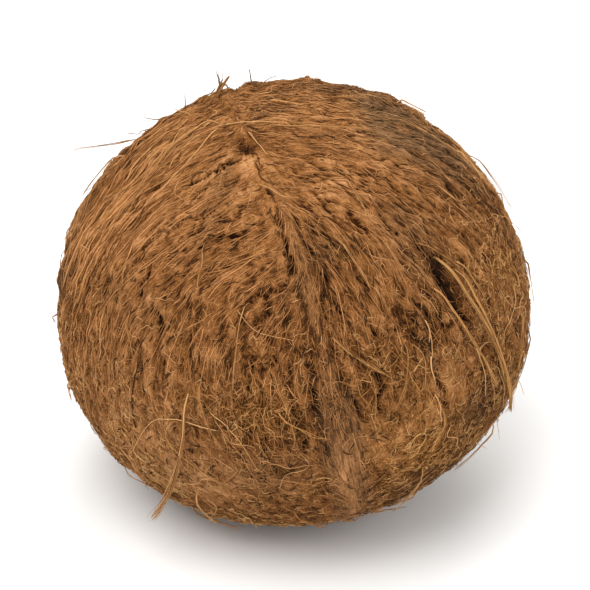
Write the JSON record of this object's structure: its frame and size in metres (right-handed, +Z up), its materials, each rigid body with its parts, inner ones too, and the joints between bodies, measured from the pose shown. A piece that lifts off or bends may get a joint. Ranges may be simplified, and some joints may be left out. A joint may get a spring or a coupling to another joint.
{
  "type": "husked coconut",
  "caption": "Whole husked coconut in its coat of brown fibre, with seams, eyes and loose strands, standing on a small flat spot.",
  "frame": {"origin": "middle of the small flat spot on the eye end that the nut stands on", "axes": "+Z is up, away from the surface that the nut stands on; -Y is the side that faces the viewer, with the long seam down its middle; +X is to the viewer's right"},
  "size_m": [0.1236, 0.1227, 0.1067],
  "materials": {
    "husk_fibre": "dry matted brown fibre, matte"
  },
  "bodies": {
    "root": {"coconut": "husk_fibre"}
  },
  "joints": []
}
